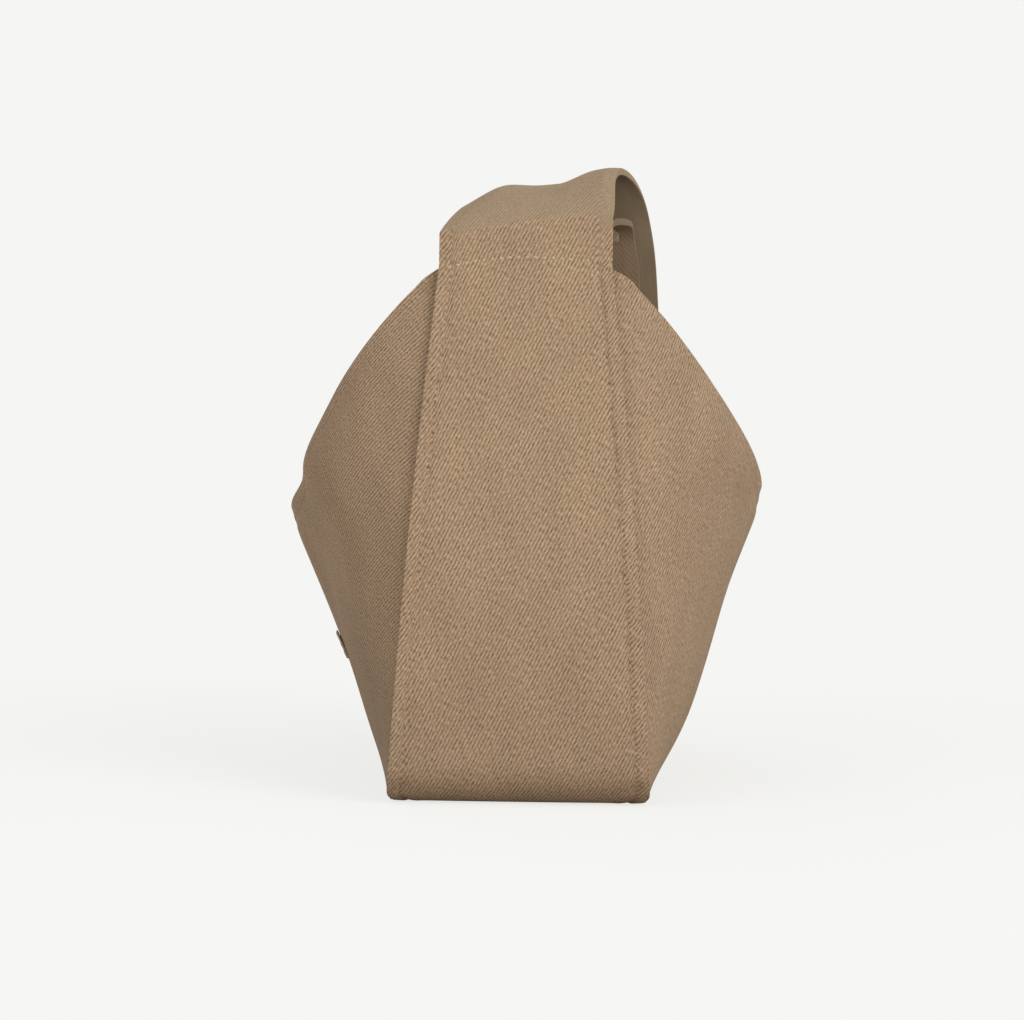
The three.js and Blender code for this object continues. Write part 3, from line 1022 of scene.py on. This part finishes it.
def label_place(y, height):
    """Where each point of the label's outer face lies: close on the wall, its upper edge standing off."""
    share = (height - label_low.z) / (label_high.z - label_low.z)
    return soft_wall(walls["left"], y, height, -label_lift - label_thickness - label_curl * share * share)


label = lay_cloth(
    "blank_label", [label_tape], spread(label_high.y, label_low.y, 40), spread(label_low.z, label_high.z, 14),
    label_place, label_thickness, edge_round=label_edge_round,
)
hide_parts("label_patch")
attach(label, "bag")


# Topstitching: tonal thread, a stitch every three millimetres, holds the bands' edges to the walls, closes
# each handle's stitch row, and runs round the mouth's hem and the label. Each stitch is a short soft
# bead that dips at its needle holes.
stitch_pitch = 0.0033
stitch_length = 0.0026
thread_width = 0.0006
thread_sunk = 0.0001
hole_width = 0.0005
hole_length = 0.0008
seam_start = corner_length * 0.6
seam_length = band_length - seam_start
row_inset = 0.0022
row_length = 0.0585
row_thread_width = thread_width * 1.9
knot_length = 0.0015
row_rise = 0.0032
row_arch = 0.0018
row_dip = 0.0036
row_jitter = 0.0004
row_jitter_rate = 500
row_sunk = 0.0002
row_uneven = 0.0006
row_uneven_rate = 90
row_seed = 7
hem_end = 0.97
hem_steps = 900
hem_tilt = -0.3
label_inset = 0.0015
label_stitch_gap = 0.0006
label_thread_width = thread_width * 0.8


def sewing_thread(name, colour):
    """Spun sewing thread: matt and twisted, with fine darker grooves in its twist."""
    groove_shade = 0.7
    thread, tree = new_finish(name)
    place = add_node(tree, "ShaderNodeTexCoord")
    twist = grain(tree, place, "Object", scale=2500.0, detail=1.0)
    groove = [channel * groove_shade for channel in to_linear(colour)[:3]] + [1.0]
    shades = shade_ramp(tree, twist, "Fac", groove, to_linear(colour))
    matt_surface(tree, shades, "Color", {"Roughness": 0.75, "Sheen Weight": 0.1})
    return thread


def sew(name, places, width, thread):
    """A row of beads, each from one place to another with the cloth's outward direction, as one piece."""
    beads = bmesh.new()
    for start, end, outward in places:
        run = (end - start) / 2
        side = outward.cross(run).normalized() * width / 2
        lift = run.cross(side).normalized() * width / 2
        if lift.dot(outward) < 0:
            lift = -lift
        frame_matrix = Matrix((side, lift, run)).transposed().to_4x4()
        frame_matrix.translation = (start + end) / 2
        bmesh.ops.create_uvsphere(beads, u_segments=8, v_segments=6, radius=1.0, matrix=frame_matrix)
    mesh = bpy.data.meshes.new(name)
    bmesh.ops.recalc_face_normals(beads, faces=beads.faces)
    beads.to_mesh(mesh)
    beads.free()
    row = bpy.data.objects.new(name, mesh)
    scene.collection.objects.link(row)
    mesh.shade_smooth()
    mesh.materials.append(thread)
    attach(row, "bag")
    return row


def stitch_places(route, outward, run_length, length=stitch_length):
    """Each stitch's two ends along a route, which is a function of the distance along the seam."""
    places = []
    for count in range(int(run_length / stitch_pitch)):
        at = (count + 0.5) * stitch_pitch
        places.append((route(at - length / 2), route(at + length / 2), outward))
    return places


tonal_thread = sewing_thread("tonal_topstitch_thread", "#BBA283")
pale_thread = sewing_thread("pale_topstitch_thread", "#D2C1A4")
needle_shadow = sewing_thread("needle_hole_shadow", "#7D664A")
for handle_name, handle in handle_plan.items():
    end = handle["end"]
    outward = Vector((0, end, 0))
    edge_places = []
    hole_places = []
    for side in (-1, 1):
        def edge_route(at, side=side, end=end):
            """The seam along one edge of a band, a stitch's inset from that edge."""
            distance = seam_start + at
            half = band_half_width(band_station(distance)[1])
            return band_point(end, side * (1 - stitch_inset / half), distance, -thread_sunk)

        edge_places += stitch_places(edge_route, outward, seam_length)
        # Dark beads sit in the needle holes between the stitches: painted shade in the holes.
        hole_places += stitch_places(
            lambda at, route=edge_route: route(at + stitch_pitch / 2), outward,
            seam_length - stitch_pitch, hole_length,
        )
    sew(f"{handle['band']}_band_edge_stitches", edge_places, thread_width, tonal_thread)
    sew(f"{handle['band']}_band_needle_hole_shade", hole_places, hole_width, needle_shadow)

    path = strap_paths[handle_name]["outer"]

    def row_route(at, handle=handle, path=path):
        """The row across a strap's foot: a shallow arch, sewn and sunk a little unevenly."""
        across = (at + row_inset) / strap_half - 1
        rise = row_rise - row_arch * across * across - row_dip * max(0.0, -across) ** 2
        rise += row_jitter * noise.noise(Vector((at * row_jitter_rate, 0, 0)))
        sunk = row_sunk + row_uneven * noise.noise(Vector((at * row_uneven_rate, row_seed, 0)))
        return strap_point(handle, path, across, rise, strap_thickness / 2 - sunk)

    row_places = stitch_places(row_route, outward, row_length, knot_length)
    sew(f"{handle_name}_stitch_row", row_places, row_thread_width, pale_thread)

for wall_name, wall in walls.items():
    hem_lengths = []
    hem_points = []
    for along in spread(-hem_end, hem_end, hem_steps):
        height = rim_height_at(wall, along) - hem_depth
        y = along * end_reach(height, wall_bottom + wall_tuck)
        hem_points.append(soft_wall(wall, y, height, thread_sunk))
        last = hem_lengths[-1] + (hem_points[-1] - hem_points[-2]).length if hem_lengths else 0.0
        hem_lengths.append(last)

    def hem_route(at, lengths=hem_lengths, points=hem_points):
        """The hem at a distance along it, between the two nearest of its points."""
        place = bisect.bisect_left(lengths, at, 0, len(lengths) - 1)
        if place == 0:
            return points[0]
        share = (at - lengths[place - 1]) / (lengths[place] - lengths[place - 1])
        return points[place - 1].lerp(points[place], min(1.0, share))

    outward = Vector((wall["side"], 0, hem_tilt)).normalized()
    hem_places = stitch_places(hem_route, outward, hem_lengths[-1] - stitch_pitch)
    sew(f"{wall_name}_hem_stitches", hem_places, thread_width, tonal_thread)

label_places = []
for label_end in (label_low.y + label_inset, label_high.y - label_inset):
    def label_route(at, y=label_end):
        """The seam up one end of the label."""
        return label_place(y, label_low.z + label_stitch_gap + at)

    label_height = label_high.z - label_low.z
    label_places += stitch_places(label_route, Vector((-1, 0, 0)), label_height - 2 * label_stitch_gap)
sew("label_stitches", label_places, label_thread_width, tonal_thread)
